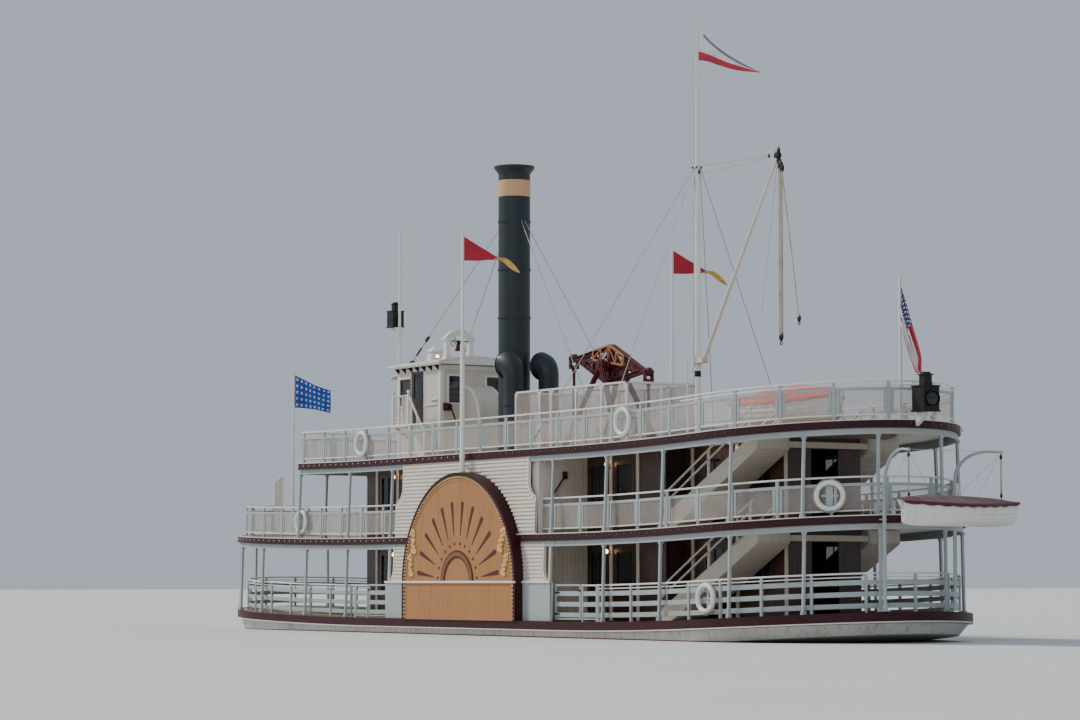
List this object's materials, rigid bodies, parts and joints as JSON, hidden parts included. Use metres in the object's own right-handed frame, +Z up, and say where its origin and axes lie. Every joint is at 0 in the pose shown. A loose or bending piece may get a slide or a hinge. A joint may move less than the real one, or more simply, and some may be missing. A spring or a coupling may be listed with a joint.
{
  "type": "paddle steamer",
  "caption": "Side-wheel paddle steamer with a flat-bottomed hull, open decks, wheels in boxes, walking beam, funnel, pilot house, masts, cargo boom, gates, boats and flags.",
  "frame": {"origin": "middle of the hull's flat bottom, amidships on the centreline", "axes": "+X towards the bow, +Y to port, +Z up"},
  "size_m": [38.0575, 8.9927, 18.99],
  "materials": {
    "hull_white": "satin",
    "deck_planks": "matte",
    "maroon_paint": "satin",
    "tan_paint": "satin",
    "grey_paint": "satin",
    "white_boards": "satin",
    "varnished_wood": "gloss",
    "funnel_navy": "satin",
    "machine_iron": "satin",
    "bell_brass": "polished",
    "flag_red": "matte",
    "flag_blue": "matte",
    "canvas_maroon": "matte",
    "canvas_orange": "matte"
  },
  "bodies": {
    "ship": {"hull": "hull_white", "main_deck": "deck_planks", "main_guard": "maroon_paint", "engine_block": "machine_iron", "paddle_box_port": "maroon_paint", "paddle_box_starboard": "maroon_paint", "box_face_port": "tan_paint", "box_face_starboard": "tan_paint", "side_wall_port": "white_boards", "side_wall_starboard": "white_boards", "second_deck": "deck_planks", "top_deck": "deck_planks", "main_deckhouse": "varnished_wood", "second_deckhouse": "varnished_wood", "main_stairs": "white_boards", "second_stairs": "white_boards", "main_colonnade_fore": "grey_paint", "main_colonnade_aft": "grey_paint", "second_colonnade_fore": "grey_paint", "second_colonnade_aft": "grey_paint", "main_rail_fore": "grey_paint", "main_rail_aft": "grey_paint", "second_rail_fore": "grey_paint", "second_rail_aft": "grey_paint", "top_rail": "grey_paint", "engine_screen": "white_boards", "beam_frame": "tan_paint", "funnel": "funnel_navy", "cowl_ventilators": "funnel_navy", "pilot_house": "white_boards", "pilot_roof": "white_boards", "foremast": "white_boards", "main_mast": "white_boards", "pennant_port": "flag_red", "pennant_starboard": "flag_red", "pennant_main": "flag_red", "flag_bow": "flag_blue", "ensign": "flag_red", "stern_lantern": "funnel_navy", "stern_davits": "grey_paint", "dinghy": "white_boards", "dinghy_cover": "canvas_maroon", "rescue_boat": "white_boards", "rescue_boat_cover": "canvas_orange"},
    "paddle_wheels": {"paddle_shaft": "machine_iron", "paddle_wheel_port": "maroon_paint", "paddle_wheel_starboard": "maroon_paint"},
    "rudder_body": {"rudder": "maroon_paint"},
    "beam_body": {"walking_beam": "maroon_paint"},
    "connecting_rod_body": {"connecting_rod": "maroon_paint"},
    "piston_rod_body": {"piston_rod": "maroon_paint"},
    "steering_wheel_body": {"steering_wheel": "varnished_wood"},
    "bell_body": {"bell": "bell_brass"},
    "pilot_door_body": {"pilot_door": "varnished_wood"},
    "gooseneck_body": {"boom_gooseneck": "machine_iron"},
    "boom_body": {"cargo_boom": "white_boards"},
    "gate_port_fore_body": {"gate_port_fore": "grey_paint"},
    "gate_starboard_fore_body": {"gate_starboard_fore": "grey_paint"},
    "gate_port_aft_body": {"gate_port_aft": "grey_paint"},
    "gate_starboard_aft_body": {"gate_starboard_aft": "grey_paint"}
  },
  "joints": [
    {"name": "paddle_turn", "type": "hinge", "parent": "ship", "child": "paddle_wheels", "pos_m": [-1.2, 0, 2.68], "axis": [0, 1, 0], "continuous": true},
    {"name": "rudder_turn", "type": "hinge", "parent": "ship", "child": "rudder_body", "pos_m": [-14.42, 0, 0.6], "axis": [0, 0, 1], "range_deg": [-35, 35]},
    {"name": "beam_rock", "type": "hinge", "parent": "ship", "child": "beam_body", "pos_m": [-3.5, 0, 9.25], "axis": [0, 1, 0], "range_deg": [-9, 27]},
    {"name": "connecting_rod_pin", "type": "hinge", "parent": "beam_body", "child": "connecting_rod_body", "pos_m": [-1.45548, 0, 9.57382], "axis": [0, 1, 0], "range_deg": [-27, 9]},
    {"name": "piston_rod_pin", "type": "hinge", "parent": "beam_body", "child": "piston_rod_body", "pos_m": [-5.54451, 0, 8.92618], "axis": [0, 1, 0], "range_deg": [-27, 9]},
    {"name": "steering_turn", "type": "hinge", "parent": "ship", "child": "steering_wheel_body", "pos_m": [6.82, 0, 8.75], "axis": [1, 0, 0], "continuous": true},
    {"name": "bell_swing", "type": "hinge", "parent": "ship", "child": "bell_body", "pos_m": [5.55, 0, 10.56], "axis": [0, 1, 0], "range_deg": [-35, 35]},
    {"name": "pilot_door_open", "type": "hinge", "parent": "ship", "child": "pilot_door_body", "pos_m": [5.655, 1.178, 8.7], "axis": [0, 0, 1], "range_deg": [-95, 0]},
    {"name": "boom_slew", "type": "hinge", "parent": "ship", "child": "gooseneck_body", "pos_m": [-8.1, 0, 9.1], "axis": [0, 0, 1], "range_deg": [-60, 60]},
    {"name": "boom_luff", "type": "hinge", "parent": "gooseneck_body", "child": "boom_body", "pos_m": [-8.4, 0, 9.1], "axis": [0, 1, 0], "range_deg": [-40, 15]},
    {"name": "gate_port_fore_open", "type": "hinge", "parent": "ship", "child": "gate_port_fore_body", "pos_m": [3.7, 3.535, 2.2], "axis": [0, 0, 1], "range_deg": [-90, 0]},
    {"name": "gate_starboard_fore_open", "type": "hinge", "parent": "ship", "child": "gate_starboard_fore_body", "pos_m": [3.7, -3.535, 2.2], "axis": [0, 0, 1], "range_deg": [0, 90]},
    {"name": "gate_port_aft_open", "type": "hinge", "parent": "ship", "child": "gate_port_aft_body", "pos_m": [-6.1, 3.535, 2.2], "axis": [0, 0, 1], "range_deg": [0, 90]},
    {"name": "gate_starboard_aft_open", "type": "hinge", "parent": "ship", "child": "gate_starboard_aft_body", "pos_m": [-6.1, -3.535, 2.2], "axis": [0, 0, 1], "range_deg": [-90, 0]}
  ],
  "couplings": [
    {"joint": "connecting_rod_pin", "follows": "beam_rock", "ratio": -1},
    {"joint": "piston_rod_pin", "follows": "beam_rock", "ratio": -1}
  ]
}
